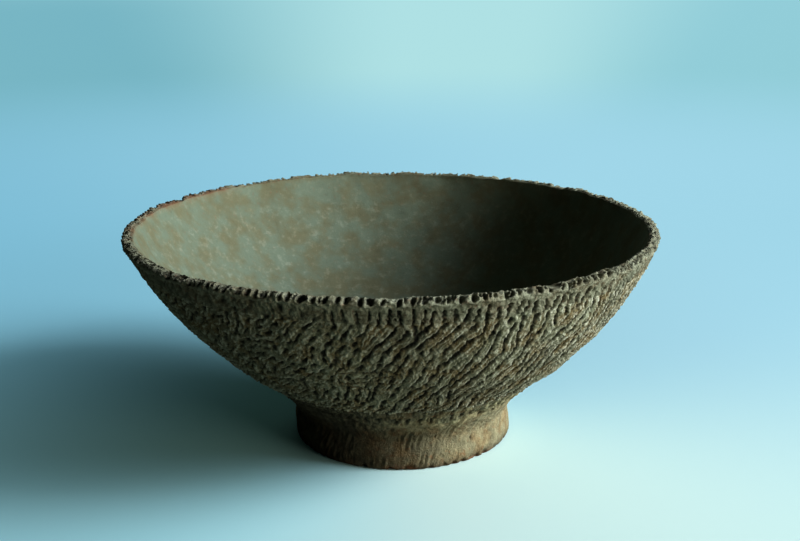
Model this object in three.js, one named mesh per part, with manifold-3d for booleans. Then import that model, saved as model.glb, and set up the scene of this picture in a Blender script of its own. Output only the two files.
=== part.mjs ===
// A cord-marked pottery bowl on a ring foot, hand built from separate pieces of clay.
// Units are millimetres, +Z is up, and the origin is on the ground under the middle of the mouth.
// The bowl is a round-bottomed body of four flattened strips of clay (courses) on a base pat, closed by a
// notched rim strip. It stands on a ring made apart, which is luted on with a fillet outside and one inside.

import * as THREE from "three";
import { mergeGeometries, mergeVertices } from "three/addons/utils/BufferGeometryUtils.js";
import Module from "manifold-3d";

const wasm = await Module();
wasm.setup();

// Overall form: foot, body and lip make up the height, and the body's side is one arc
const mouthRadius = 130;
const footHeight = 24.4;
const bodyHeight = 80.8;
const lipHeight = 3.2;
const sideCurveRadius = 170;

// Walls
const wallThicknessLow = 7.5;
const wallThicknessHigh = 5;
const baseThickness = 9;
const baseFlatRadius = 28;
const basePatRadius = 60.4;
const rimStripWidth = 8.9;
const courseCount = 4;
const lapRun = 7.1;

// Lip and its notches
const lipStep = 0.6;
const lipTopWidth = 2.6;
const lipEdgeBevel = 0.8;
const notchPitch = 4.9;
const notchWidth = 3.4;
const notchHeight = 5;
const notchDepth = 2.8;
const notchSlant = 14;
const notchDrop = 0.7;

// Cord marks on the wall: grooves whose spacing is given at the lip, and which sweep round lower down
const cordPitch = 5.4;
const cordDepth = 1;
const cordBeadShare = 0.55;
const cordSweep = 12.8;
const cordFade = 4;

// Foot
const footBaseRadius = 55.2;
const footWaistRadius = 53.4;
const footThickness = 9.6;
const footInnerTaper = 1;
const footFlareHeight = 7;
const footEdgeRound = 1.2;
const footOffset = 4.8;

// Luting clay between foot and bowl
const outerFilletReach = 19.5;
const outerFilletDrop = 10.5;
const outerFilletTuck = 6.3;
const innerFilletReach = 8;
const innerFilletDrop = 7;
const innerFilletTuck = 4.9;
const filletEdge = 0.4;

// Set of the mouth: it is a little lower at the right and at the back
const mouthTiltRight = 0.29;
const mouthTiltBack = 0.12;

// Clearance between neighbouring pieces, and how finely they are faceted
const jointGap = 0.3;
const roundSteps = 64;
const arcSteps = 3;
const stripSteps = 2;

const radians = THREE.MathUtils.degToRad;

// The body's outer outline is an arc of that radius from the waist of the foot to the foot of the lip.
const lipFootZ = footHeight + bodyHeight;
const bowlHeight = lipFootZ + lipHeight;
const arcLow = new THREE.Vector2(footWaistRadius, footHeight);
const arcHigh = new THREE.Vector2(mouthRadius - lipStep, lipFootZ);
const chord = arcHigh.clone().sub(arcLow);
const centreDistance = Math.sqrt(sideCurveRadius ** 2 - chord.lengthSq() / 4);
const towardsCentre = new THREE.Vector2(-chord.y, chord.x).normalize();
const arcCentre = arcLow.clone().lerp(arcHigh, 0.5).addScaledVector(towardsCentre, centreDistance);

// A point of the wall, at an angle up the arc and a depth in from the outer surface.
function wallPoint(angle, depth) {
  const reach = sideCurveRadius - depth;
  return new THREE.Vector2(
    arcCentre.x + reach * Math.sin(angle),
    arcCentre.y - reach * Math.cos(angle),
  );
}

function angleAtRadius(radius, depth = 0) {
  return Math.asin((radius - arcCentre.x) / (sideCurveRadius - depth));
}

function angleAtHeight(z, depth = 0) {
  return Math.acos((arcCentre.y - z) / (sideCurveRadius - depth));
}

const lipAngle = angleAtRadius(arcHigh.x);
const patAngle = angleAtRadius(basePatRadius);
const stripAngle = lipAngle - rimStripWidth / sideCurveRadius;
const filletEndAngle = angleAtRadius(footWaistRadius + outerFilletReach);

function wallThickness(angle) {
  const share = THREE.MathUtils.inverseLerp(patAngle, lipAngle, angle);
  return THREE.MathUtils.lerp(wallThicknessLow, wallThicknessHigh, THREE.MathUtils.clamp(share, 0, 1));
}

// Points along the outer or the inner surface of the wall, from one angle to another.
function wallArc(from, to, isInner) {
  const points = [];
  for (let i = 0; i <= arcSteps; i++) {
    const angle = THREE.MathUtils.lerp(from, to, i / arcSteps);
    points.push(wallPoint(angle, isInner ? wallThickness(angle) : 0));
  }
  return points;
}

// A lap joint slants from its outer edge down to its inner edge. Each side keeps half the clearance.
const lap = lapRun / sideCurveRadius;

function lapShift(angle) {
  const thickness = wallThickness(angle);
  const alongWall = (jointGap * Math.hypot(thickness, lapRun)) / thickness;
  return alongWall / 2 / sideCurveRadius;
}

// Turns a closed outline of radius and height round the vertical axis.
function turned(outline) {
  const geometry = new THREE.LatheGeometry([...outline, outline[0].clone()], roundSteps);
  geometry.rotateX(Math.PI / 2);
  return geometry;
}

// A hand-set pot: the foot stands to one side of the mouth's middle, and the mouth isn't quite level.
function setByHand(geometry) {
  const position = geometry.getAttribute("position");
  const point = new THREE.Vector3();
  for (let i = 0; i < position.count; i++) {
    point.fromBufferAttribute(position, i);
    const up = THREE.MathUtils.clamp((point.z - footHeight) / bodyHeight, 0, 1);
    const fall = point.x * Math.tan(radians(mouthTiltRight)) + point.y * Math.tan(radians(mouthTiltBack));
    point.z -= (fall * point.z) / bowlHeight;
    point.x += footOffset * (1 - up);
    position.setXYZ(i, point.x, point.y, point.z);
  }
  geometry.computeVertexNormals();
  return geometry;
}

// Base pat: a round of clay, flat in the middle and curving up into the wall.
function basePatOutline() {
  const outerTop = patAngle - lapShift(patAngle);
  const innerTop = outerTop - lap;
  const flatAngle = angleAtRadius(baseFlatRadius);
  const undersideZ = wallPoint(flatAngle, 0).y;
  const floorZ = undersideZ + baseThickness;
  const floorAngle = angleAtHeight(floorZ, wallThicknessLow);
  return [
    new THREE.Vector2(0, undersideZ),
    ...wallArc(flatAngle, outerTop, false),
    ...wallArc(floorAngle, innerTop, true).reverse(),
    new THREE.Vector2(0, floorZ),
  ];
}

// A ring of points round the vertical axis. Its first point lies at a share of a full turn.
function ringOf(count, firstTurn, pointAt) {
  const points = [];
  for (let i = 0; i < count; i++) {
    const turn = 2 * Math.PI * (firstTurn + i / count);
    const { x: radius, y: height } = pointAt(i);
    points.push(new THREE.Vector3(radius * Math.cos(turn), radius * Math.sin(turn), height));
  }
  return { points, firstTurn };
}

// Faces between two rings. Rings with as many points join point by point, and others by their turn.
function facesBetween(low, high, lowIndex, highIndex) {
  const lowCount = low.points.length;
  const highCount = high.points.length;
  const isAlike = lowCount === highCount;
  const lowStart = isAlike ? 0 : Math.round(-low.firstTurn * lowCount);
  const highStart = isAlike ? 0 : Math.round(-high.firstTurn * highCount);
  const lowTurn = isAlike ? 0 : low.firstTurn;
  const highTurn = isAlike ? 0 : high.firstTurn;
  const lowAt = (i) => lowIndex + THREE.MathUtils.euclideanModulo(lowStart + i, lowCount);
  const highAt = (i) => highIndex + THREE.MathUtils.euclideanModulo(highStart + i, highCount);
  const faces = [];
  let i = 0;
  let j = 0;
  while (i < lowCount || j < highCount) {
    const lowNext = lowTurn + (lowStart + i + 1) / lowCount;
    const highNext = highTurn + (highStart + j + 1) / highCount;
    if (j === highCount || (i < lowCount && lowNext <= highNext)) {
      faces.push(lowAt(i), lowAt(i + 1), highAt(j));
      i++;
    } else {
      faces.push(lowAt(i), highAt(j + 1), highAt(j));
      j++;
    }
  }
  return faces;
}

// How deep the cords pressed at an angle up the arc: less near the luting clay and the lip, and at each
// groove's row of beads, which the twist of the cord leaves, deep and shallow by turns.
function cordPress(angle, groove, row) {
  const aboveFillet = (angle - filletEndAngle) * sideCurveRadius;
  const belowLip = (lipAngle - angle) * sideCurveRadius;
  const fade = THREE.MathUtils.clamp(Math.min(aboveFillet, belowLip) / cordFade, 0, 1);
  const bead = (groove + row) % 2 === 0 ? 1 : cordBeadShare;
  return cordDepth * bead * fade;
}

// A strip of the wall: cord-marked rows of its outer face from the bottom up, then the rest of its outline.
// The cords press in along the slant of the lap joints, so that the joints still lie face to face.
function cordMarkedStrip(rowAngles, firstRow, plainOutline) {
  const grooveCount = Math.round((2 * Math.PI * mouthRadius) / cordPitch);
  const rows = rowAngles.map((angle, index) => {
    const up = THREE.MathUtils.inverseLerp(filletEndAngle, lipAngle, angle);
    const sweep = (-cordSweep / 360) * (1 - THREE.MathUtils.clamp(up, 0, 1)) ** 3;
    return ringOf(2 * grooveCount, sweep, (i) => {
      const depth = i % 2 === 0 ? 0 : cordPress(angle, (i - 1) / 2, firstRow + index);
      return wallPoint(angle - (lap * depth) / wallThickness(angle), depth);
    });
  });
  const rings = [...rows, ...plainOutline.map((point) => ringOf(roundSteps, 0, () => point))];
  const starts = [0];
  rings.forEach((ring, i) => starts.push(starts[i] + ring.points.length));
  const faces = rings.flatMap((ring, i) => {
    const next = (i + 1) % rings.length;
    return facesBetween(ring, rings[next], starts[i], starts[next]);
  });
  return new THREE.BufferGeometry()
    .setFromPoints(rings.flatMap((ring) => ring.points))
    .setIndex(faces);
}

function lerpSteps(from, to, steps) {
  return Array.from({ length: steps + 1 }, (_, i) => THREE.MathUtils.lerp(from, to, i / steps));
}

// Wall course: a flattened strip of clay, with a lap joint above and below.
function wallCourse(index) {
  const step = (stripAngle - patAngle) / courseCount;
  const low = patAngle + step * index;
  const high = low + step;
  const outerLow = low + lapShift(low);
  const outerHigh = high - lapShift(high);
  const inner = wallArc(outerLow - lap, outerHigh - lap, true).reverse();
  return cordMarkedStrip(lerpSteps(outerLow, outerHigh, arcSteps), arcSteps * index, inner);
}

// Rim strip: it closes the wall with a flat-topped lip, which stands a little proud outside.
function plainRim() {
  const outerLow = stripAngle + lapShift(stripAngle);
  const lipInnerRadius = wallPoint(lipAngle, wallThicknessHigh).x;
  const topInnerRadius = mouthRadius - lipEdgeBevel - lipTopWidth;
  return cordMarkedStrip(lerpSteps(outerLow, lipAngle, stripSteps), arcSteps * courseCount, [
    new THREE.Vector2(mouthRadius, lipFootZ + lipStep),
    new THREE.Vector2(mouthRadius, bowlHeight - lipEdgeBevel),
    new THREE.Vector2(mouthRadius - lipEdgeBevel, bowlHeight),
    new THREE.Vector2(topInnerRadius, bowlHeight),
    new THREE.Vector2(lipInnerRadius, bowlHeight - lipEdgeBevel),
    wallPoint(lipAngle, wallThicknessHigh),
    wallPoint(outerLow - lap, wallThickness(outerLow - lap)),
  ]);
}

function solidOf(geometry) {
  const bare = geometry.clone();
  bare.deleteAttribute("normal");
  bare.deleteAttribute("uv");
  const merged = mergeVertices(bare, 1e-3);
  return new wasm.Manifold(
    new wasm.Mesh({
      numProp: 3,
      vertProperties: merged.getAttribute("position").array,
      triVerts: new Uint32Array(merged.index.array),
    }),
  );
}

function geometryOf(solid) {
  const mesh = solid.getMesh();
  return new THREE.BufferGeometry()
    .setAttribute("position", new THREE.BufferAttribute(mesh.vertProperties, 3))
    .setIndex(new THREE.BufferAttribute(mesh.triVerts, 1));
}

// Notches: slanting oval pits, pressed side by side into the lip's outer edge all round.
function notchedRim() {
  const count = Math.round((2 * Math.PI * mouthRadius) / notchPitch);
  const notches = [];
  for (let i = 0; i < count; i++) {
    const notch = new THREE.OctahedronGeometry(1);
    notch.scale(notchDepth, notchWidth / 2, notchHeight / 2);
    notch.rotateX(radians(notchSlant));
    notch.translate(mouthRadius, 0, bowlHeight - notchDrop);
    notch.rotateZ((2 * Math.PI * (i + 0.5)) / count);
    notches.push(notch);
  }
  return geometryOf(solidOf(plainRim()).subtract(solidOf(mergeGeometries(notches))));
}

// Foot ring: a band of clay, whose top is pressed to the curved underside of the bowl.
const footInnerRadius = footWaistRadius - footThickness;

function undersidePoint(radius, gap) {
  return wallPoint(angleAtRadius(radius), -gap);
}

function footOutline() {
  const innerTop = undersidePoint(footInnerRadius, jointGap);
  const middleTop = undersidePoint((footInnerRadius + footWaistRadius) / 2, jointGap);
  const outerTop = undersidePoint(footWaistRadius, jointGap);
  return [
    new THREE.Vector2(footInnerRadius + footInnerTaper + footEdgeRound, 0),
    new THREE.Vector2(footBaseRadius - footEdgeRound, 0),
    new THREE.Vector2(footBaseRadius, footEdgeRound),
    new THREE.Vector2(footBaseRadius, footFlareHeight),
    new THREE.Vector2(footWaistRadius, footHeight - outerFilletDrop),
    outerTop,
    middleTop,
    innerTop,
    new THREE.Vector2(footInnerRadius + footInnerTaper, footEdgeRound),
  ];
}

// A concave face of luting clay, from a foot of the fillet on the ring to its end under the bowl.
function filletFace(start, corner, end) {
  return new THREE.QuadraticBezierCurve(start, corner, end).getPoints(2 * arcSteps);
}

// Outer fillet: clay smoothed into the angle between the ring and the bowl.
function outerFilletOutline() {
  const ringSide = undersidePoint(footWaistRadius, jointGap).x + jointGap;
  const corner = undersidePoint(ringSide, jointGap);
  const reach = footWaistRadius + outerFilletReach;
  const lowZ = footHeight - outerFilletDrop + jointGap;
  const face = filletFace(
    new THREE.Vector2(ringSide + filletEdge, lowZ),
    new THREE.Vector2(ringSide + filletEdge, lowZ + outerFilletTuck),
    undersidePoint(reach, jointGap + filletEdge),
  );
  const seat = undersidePoint((ringSide + reach) / 2, jointGap);
  return [new THREE.Vector2(ringSide, lowZ), ...face, undersidePoint(reach, jointGap), seat, corner];
}

// Inner fillet: the same inside the hollow of the foot.
function innerFilletOutline() {
  const ringSide = footInnerRadius - jointGap;
  const corner = undersidePoint(ringSide, jointGap);
  const reach = footInnerRadius - innerFilletReach;
  const lowZ = corner.y - innerFilletDrop;
  const face = filletFace(
    undersidePoint(reach, jointGap + filletEdge),
    new THREE.Vector2(ringSide - filletEdge, lowZ + innerFilletTuck),
    new THREE.Vector2(ringSide - filletEdge, lowZ),
  );
  return [undersidePoint(reach, jointGap), ...face, new THREE.Vector2(ringSide, lowZ), corner];
}

// Fired clay, greyer where the fire smoked it and warmer at the foot
const clayColours = {
  wall: 0x6b6350,
  rim: 0x77705b,
  base: 0x7c7a62,
  foot: 0x7a6a50,
  fillet: 0x6f634c,
};

const bowl = new THREE.Group();

function addPiece(name, geometry, colour) {
  const material = new THREE.MeshStandardMaterial({ color: colour, roughness: 0.9, metalness: 0 });
  const piece = new THREE.Mesh(setByHand(geometry), material);
  piece.name = name;
  bowl.add(piece);
}

addPiece("foot_ring", turned(footOutline()), clayColours.foot);
addPiece("outer_foot_fillet", turned(outerFilletOutline()), clayColours.fillet);
addPiece("inner_foot_fillet", turned(innerFilletOutline()), clayColours.fillet);
addPiece("base_pat", turned(basePatOutline()), clayColours.base);
for (let i = 0; i < courseCount; i++) {
  addPiece(`wall_course_${i + 1}`, wallCourse(i), clayColours.wall);
}
addPiece("rim_strip", notchedRim(), clayColours.rim);

export default bowl;
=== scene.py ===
"""A cord-marked pottery bowl on a ring foot: its fired clay, piece by piece in the order of making.

Working sizes are in millimetres in the part's own frame, before the foot and the mouth are set by hand, and
the meshes turn them to metres. Round the pot, angle 0 is at +X and the camera looks from -90 degrees.
"""

import math

import bpy
import numpy as np
from mathutils import Euler, Matrix, Vector


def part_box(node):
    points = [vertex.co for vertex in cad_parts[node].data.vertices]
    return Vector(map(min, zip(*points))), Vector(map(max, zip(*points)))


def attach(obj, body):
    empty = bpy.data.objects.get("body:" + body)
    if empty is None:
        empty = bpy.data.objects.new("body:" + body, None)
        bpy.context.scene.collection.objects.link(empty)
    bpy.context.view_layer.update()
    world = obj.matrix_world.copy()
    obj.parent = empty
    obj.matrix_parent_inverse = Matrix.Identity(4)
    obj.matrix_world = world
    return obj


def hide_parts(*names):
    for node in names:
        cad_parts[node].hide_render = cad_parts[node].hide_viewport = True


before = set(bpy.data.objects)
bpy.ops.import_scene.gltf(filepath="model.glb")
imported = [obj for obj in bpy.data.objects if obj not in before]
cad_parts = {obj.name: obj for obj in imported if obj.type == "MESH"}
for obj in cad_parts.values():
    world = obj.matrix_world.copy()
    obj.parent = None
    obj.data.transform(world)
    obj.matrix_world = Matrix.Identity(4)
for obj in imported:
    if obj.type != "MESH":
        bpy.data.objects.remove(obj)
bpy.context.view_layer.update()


# Foot ring
# A band of gritty clay bent into a ring and pressed under the bowl, then wiped upwards with wet fingers.
# It fired warmer than the wall, and its lower edge has chipped to the orange clay inside.

mm = 0.001
foot_low, foot_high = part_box("foot_ring")
foot_base_radius = (foot_high[0] - foot_low[0]) / 2 / mm
foot_offset = (foot_high[0] + foot_low[0]) / 2 / mm
foot_height = 24.4
foot_waist_radius = 53.4
foot_inner_radius = 43.8
foot_inner_taper = 1
foot_flare_height = 7
foot_edge_round = 1.2
foot_seam_radius = 54.1
foot_seam_height = 14.2
foot_columns = 832
foot_row = 0.8

rim_low, rim_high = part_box("rim_strip")
mouth_radius = (rim_high[0] - rim_low[0]) / 2 / mm
body_height = 80.8
lip_height = 3.2
lip_step = 0.6
side_curve_radius = 170
mouth_tilt_right = math.radians(0.29)
mouth_tilt_back = math.radians(0.12)

# The wall's outer face is one arc, from the waist of the foot up to the lip, and the foot's top follows it
lip_foot_height = foot_height + body_height
bowl_height = lip_foot_height + lip_height
arc_low = np.array([foot_waist_radius, foot_height])
arc_high = np.array([mouth_radius - lip_step, lip_foot_height])
chord = arc_high - arc_low
centre_distance = math.sqrt(side_curve_radius**2 - chord @ chord / 4)
arc_centre = (arc_low + arc_high) / 2 + np.array([-chord[1], chord[0]]) / np.hypot(*chord) * centre_distance


def wall_point(angle, depth=0.0):
    """Radius and height of a point of the wall, at an angle up its arc and a depth in from the outer face."""
    reach = side_curve_radius - depth
    return np.stack([arc_centre[0] + reach * np.sin(angle), arc_centre[1] - reach * np.cos(angle)], -1)


def wall_angle(radius, depth=0.0):
    """The angle up the arc at which the wall has this radius."""
    return np.arcsin((radius - arc_centre[0]) / (side_curve_radius - depth))


def spaced(outline, step):
    """The outline with points added, so that none lies further than the step from the next."""
    points = [outline[0]]
    for start, end in zip(outline, outline[1:]):
        count = max(1, math.ceil(np.hypot(*np.subtract(end, start)) / step))
        points += [np.add(start, np.subtract(end, start) * i / count) for i in range(1, count + 1)]
    return np.array(points, float)


def face_normals(outline):
    """Which way the clay's surface faces at each point of an outline that keeps the clay on its left."""
    run = np.gradient(outline, axis=0)
    return np.stack([run[:, 1], -run[:, 0]], -1) / np.hypot(*run.T)[:, None]


def turns(columns):
    """The angle of each column of points round the pot."""
    return np.arange(columns) * 2 * math.pi / columns


def turn_between(turn, middle):
    """How far round the pot an angle lies from another, at most half a turn either way."""
    return (turn - middle + math.pi) % (2 * math.pi) - math.pi


def places(outline, columns):
    """Where each point of the turned outline lies, as rows and columns of x, y and z in millimetres."""
    turn = turns(columns)
    radius, height = outline[:, :1], outline[:, 1:]
    return np.stack([radius * np.cos(turn), radius * np.sin(turn), height + 0 * turn], -1)


def lumps(place, size, seed):
    """Hand-made unevenness of about that size in millimetres, mostly between -1 and 1."""
    rng = np.random.default_rng(seed)
    ways = rng.normal(size=(20, 3))
    ways *= (2 * math.pi / size * rng.uniform(0.6, 1.4, 20) / np.linalg.norm(ways, axis=1))[:, None]
    starts = rng.uniform(0, 2 * math.pi, 20)
    return sum(np.sin(place @ way + start) for way, start in zip(ways, starts)) / 4.5


def eased(value, low, high):
    """Rises smoothly from 0 at low to 1 at high."""
    share = np.clip((value - low) / (high - low), 0, 1)
    return share * share * (3 - 2 * share)


def skin(outline, columns, depth=0.0, **marks):
    """A band of surface: the outline turned and pressed in by a depth, with marks for the clay's colour."""
    normal = face_normals(outline)
    depth = np.broadcast_to(depth, (len(outline), columns))
    radius = outline[:, :1] - normal[:, :1] * depth
    height = outline[:, 1:] - normal[:, 1:] * depth
    return radius, height, {name: np.broadcast_to(mark, depth.shape) for name, mark in marks.items()}


# What each point of the clay carries for its colour, from 0 to 1: its soil with painted shade, its wear with
# painted highlight, its orange firing and its smoothing
mark_names = ("soil", "worn_and_lit", "ember", "smoothed")


def set_by_hand(x, y, z):
    """The foot stands to one side of the mouth's middle, and the mouth isn't quite level."""
    up = np.clip((z - foot_height) / body_height, 0, 1)
    fall = x * math.tan(mouth_tilt_right) + y * math.tan(mouth_tilt_back)
    return x + foot_offset * (1 - up), y, z - fall * z / bowl_height


def turned_piece(name, bands, material, domed=False):
    """One closed body from bands of skin that follow on. A domed one closes on the axis at both ends."""
    radius = np.concatenate([band[0] for band in bands])
    height = np.concatenate([band[1] for band in bands])
    rows, columns = radius.shape
    turn = turns(columns)
    x, y, z = set_by_hand(radius * np.cos(turn), radius * np.sin(turn), height)
    points = np.stack([x, y, z], -1).reshape(-1, 3)
    poles = np.array([set_by_hand(0, 0, height[i].mean()) for i in (0, -1)]) if domed else np.empty((0, 3))
    mesh = bpy.data.meshes.new(name)

    # Faces between each ring and the next, and the share of the section and of the turn at each corner
    steps = [np.diff(part.mean(1), append=part[0].mean()) for part in (radius, height)]
    gaps = np.hypot(*steps)
    pole_gap = [radius[0].mean()] if domed else []
    section = np.cumsum([0, *pole_gap, *gaps[: rows - 1], radius[-1].mean() if domed else gaps[-1]])
    section /= section[-1]
    low_rows = np.arange(rows - 1 if domed else rows)
    i, j = (grid.ravel() for grid in np.meshgrid(low_rows, np.arange(columns), indexing="ij"))
    i_next, j_next = (i + 1) % rows, (j + 1) % columns
    ring, next_ring = i * columns, i_next * columns
    quads = np.stack([ring + j, ring + j_next, next_ring + j_next, next_ring + j], -1)
    at = i + len(pole_gap)
    quad_map = np.stack([j, section[at], j + 1, section[at], j + 1, section[at + 1], j, section[at + 1]], -1)
    corners, starts = quads.ravel(), np.arange(len(quads)) * 4
    corner_map = quad_map.reshape(-1, 2)
    if domed:
        j = np.arange(columns)
        j_next = (j + 1) % columns
        last = (rows - 1) * columns
        low_pole, high_pole = len(points) + 0 * j, len(points) + 1 + 0 * j
        fans = np.stack([low_pole, j_next, j, last + j, last + j_next, high_pole], -1)
        lows, highs = 0 * j + section[1], 0 * j + section[-2]
        fan_map = [j + 0.5, 0 * j, j + 1, lows, j, lows, j, highs, j + 1, highs, j + 0.5, 0 * j + 1]
        starts = np.append(starts, len(corners) + np.arange(2 * columns) * 3)
        corners = np.append(corners, fans.ravel())
        corner_map = np.append(corner_map, np.stack(fan_map, -1).reshape(-1, 2), axis=0)
    corner_map[:, 0] /= columns

    mesh.vertices.add(len(points) + len(poles))
    mesh.vertices.foreach_set("co", (np.append(points, poles, axis=0) * mm).ravel())
    mesh.loops.add(len(corners))
    mesh.loops.foreach_set("vertex_index", corners)
    mesh.polygons.add(len(starts))
    mesh.polygons.foreach_set("loop_start", starts)
    mesh.polygons.foreach_set("use_smooth", np.ones(len(starts), bool))
    mesh.update(calc_edges=True)
    mesh.uv_layers.new(name="OFBake").uv.foreach_set("vector", corner_map.astype(np.float32).ravel())

    # Each band meets the next at crisp edges
    ends_of_bands = np.cumsum([len(band[0]) for band in bands])
    crisp_rows = [0, *ends_of_bands[:-1], *(ends_of_bands - 1)]
    ends = np.empty(len(mesh.edges) * 2, np.int64)
    mesh.edges.foreach_get("vertices", ends)
    ring_of = ends.reshape(-1, 2) // columns
    crisp = (ring_of[:, 0] == ring_of[:, 1]) & np.isin(ring_of[:, 0], crisp_rows)
    mesh.attributes.new("sharp_edge", "BOOLEAN", "EDGE").data.foreach_set("value", crisp)
    for mark in mark_names:
        rings = [np.broadcast_to(band[2].get(mark, 0.0), band[0].shape) for band in bands]
        values = np.append(np.concatenate(rings).ravel(), [rings[0][0, 0], rings[-1][-1, 0]] if domed else [])
        mesh.attributes.new(mark, "FLOAT", "POINT").data.foreach_set("value", values.astype(np.float32))

    mesh.materials.append(material)
    piece = bpy.data.objects.new(name + "_clay", mesh)
    bpy.context.scene.collection.objects.link(piece)
    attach(piece, "root")
    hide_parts(name)
    return piece


def linear_colour(code):
    """An sRGB hex colour as linear red, green, blue and alpha."""
    parts = [int(code[i : i + 2], 16) / 255 for i in (1, 3, 5)]
    return (*(p / 12.92 if p <= 0.04045 else ((p + 0.055) / 1.055) ** 2.4 for p in parts), 1)


def add_node(tree, kind, sockets, **settings):
    """Adds a node. A socket is given a value, a hex colour, or another node's output, which is linked."""
    node = tree.nodes.new(kind)
    for name, value in settings.items():
        setattr(node, name, value)
    for name, value in sockets.items():
        socket = node.inputs[name]
        if isinstance(value, bpy.types.NodeSocket):
            tree.links.new(value, socket)
        else:
            socket.default_value = linear_colour(value) if isinstance(value, str) else value
    return node


soft_step = {"interpolation_type": "SMOOTHSTEP"}


def laid_over(tree, under, over, pattern, low, high, most=1.0, least=0.0, held_to=1.0):
    """One tone laid over another, more of it as a pattern goes from low to high, where a mark holds it.

    A tone is a hex colour or what such a layer gave.
    """
    span = {"Value": pattern, "From Min": low, "From Max": high, "To Min": least, "To Max": most}
    amount = add_node(tree, "ShaderNodeMapRange", span, **soft_step).outputs["Result"]
    held = add_node(tree, "ShaderNodeMath", {0: held_to, 1: amount}, operation="MULTIPLY").outputs[0]
    return add_node(tree, "ShaderNodeMix", {"Factor": held, 6: under, 7: over}, data_type="RGBA").outputs[2]


# Fire clouds, stains, mottling, iron flecks, and grit with its pores: size in millimetres, detail, roughness
clay_patterns = [(60, 3, 0.55), (12, 5, 0.55), (4, 5, 0.65), (2.1, 2, 0.55), (0.9, 4, 0.7)]
inner_body = "#68725f"
inner_stain = "#69664c"


def fired_clay(name, body, smoked, stain, pale_and_lit, soil, ember, grain_relief=0.4, speckle=0.65):
    """Low-fired earthenware: matt, gritty, clouded by the fire, with soil and painted shade in hollows, worn
    edges paler and painted lit.
    """
    material = bpy.data.materials.new(name)
    material.use_nodes = True
    tree = material.node_tree
    tree.nodes.clear()
    where = add_node(tree, "ShaderNodeTexCoord", {}).outputs["Object"]
    patterns = []
    for size, detail, roughness in clay_patterns:
        sockets = {"Vector": where, "Scale": 1 / (size * mm), "Detail": detail, "Roughness": roughness}
        patterns.append(add_node(tree, "ShaderNodeTexNoise", sockets).outputs["Fac"])
    clouds, stains, mottling, flecks, grit = patterns
    marks = []
    for mark in mark_names:
        marks.append(add_node(tree, "ShaderNodeAttribute", {}, attribute_name=mark).outputs["Fac"])
    soiled, worn_and_lit, orange, smoothed = marks

    # Clouds and stains on the clay outside, and stains on the smoothed clay inside
    outer = laid_over(tree, body, smoked, clouds, 0.40, 0.64, 0.75)
    outer = laid_over(tree, outer, stain, stains, 0.42, 0.63, 0.85)
    inner = laid_over(tree, inner_body, inner_stain, stains, 0.36, 0.66, 0.85)
    sides = {"Factor": smoothed, 6: outer, 7: inner}
    colour = add_node(tree, "ShaderNodeMix", sides, data_type="RGBA").outputs[2]

    # Flecks, mottling and grit, fainter where the clay is smoothed, and what fire, wear and soil left on it,
    # with painted shade added in the soiled hollows and painted highlight on the worn ridges
    smoothing = {"Value": smoothed, "To Min": 1.0, "To Max": 0.3}
    speckled = add_node(tree, "ShaderNodeMapRange", smoothing, **soft_step).outputs["Result"]
    for tone, pattern, low, high, most, least, held_to in (
        (ember, flecks, 0.59, 0.72, 0.42, 0.0, speckled),
        (pale_and_lit, mottling, 0.50, 0.76, 0.7 * speckle, 0.0, speckled),
        (soil, mottling, 0.46, 0.26, 0.7 * speckle, 0.0, speckled),
        (ember, stains, 0.30, 0.55, 1.0, 0.0, orange),
        (pale_and_lit, mottling, 0.30, 0.62, 0.9, 0.0, worn_and_lit),
        (soil, mottling, 0.70, 0.30, 1.0, 0.75, soiled),
        (pale_and_lit, grit, 0.60, 0.76, speckle, 0.0, speckled),
        (soil, grit, 0.40, 0.26, speckle, 0.0, speckled),
    ):
        colour = laid_over(tree, colour, tone, pattern, low, high, most, least, held_to)

    # A fine grain, nearly rubbed away where the clay is smoothed
    smoothing = {"Value": smoothed, "To Min": 1.0, "To Max": 0.12}
    relief = add_node(tree, "ShaderNodeMapRange", smoothing, **soft_step).outputs["Result"]
    bumps = {"Height": mottling, "Distance": grain_relief * 2 * mm, "Strength": relief}
    grain = add_node(tree, "ShaderNodeBump", bumps).outputs["Normal"]
    bumps = {"Height": grit, "Distance": grain_relief * 3 * mm, "Strength": relief, "Normal": grain}
    grain = add_node(tree, "ShaderNodeBump", bumps).outputs["Normal"]
    span = {"Value": stains, "From Min": 0.3, "From Max": 0.7, "To Min": 0.86, "To Max": 0.97}
    roughness = add_node(tree, "ShaderNodeMapRange", span, **soft_step).outputs["Result"]
    finish = {"Base Color": colour, "Roughness": roughness, "Normal": grain, "Specular IOR Level": 0.3}
    shader = add_node(tree, "ShaderNodeBsdfPrincipled", finish)
    add_node(tree, "ShaderNodeOutputMaterial", {"Surface": shader.outputs["BSDF"]})
    return material


# Earthenware wiped with wet fingers: tan and close-grained, with orange where its skin has broken away
wiped_foot_clay = fired_clay(
    "wiped_foot_earthenware",
    body="#878063",
    smoked="#605b45",
    stain="#7a6442",
    pale_and_lit="#c2bb94",
    soil="#211c13",
    ember="#8f5630",
    grain_relief=0.25,
    speckle=0.25,
)


# Strokes and torn hollows are drawn out upwards
upright = np.array([1, 1, 0.4])
fine_stroke = 3.0
broad_stroke = 4.7


def wiped(place, strength, seed):
    """Strokes of fingers and grass up the foot: ragged ridges 3 to 5 mm apart, faint at the right."""
    turn = np.arctan2(place[..., 1], place[..., 0])
    sway = 1.2 * lumps(place, 26, seed) + 0.5 * lumps(place * upright, 2.6, seed + 2)
    round_foot = turn * foot_base_radius - 0.3 * place[..., 2]
    strokes = np.sin((round_foot + sway) * 2 * math.pi / fine_stroke)
    strokes += np.sin((round_foot - sway) * 2 * math.pi / broad_stroke + 1)
    firm = 1 - 0.8 * eased(np.degrees(turn), -75, -55) * eased(np.degrees(turn), 60, 20)
    return strength * strokes * firm * eased(lumps(place, 17, seed + 1), -0.7, 0.8)


def pitted(place, size, share, seed):
    """Small hollows where grit has dropped out: 1 in their middle, 0 outside."""
    return eased(lumps(place, size, seed), 2.3 - share, 3.0 - share)


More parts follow.
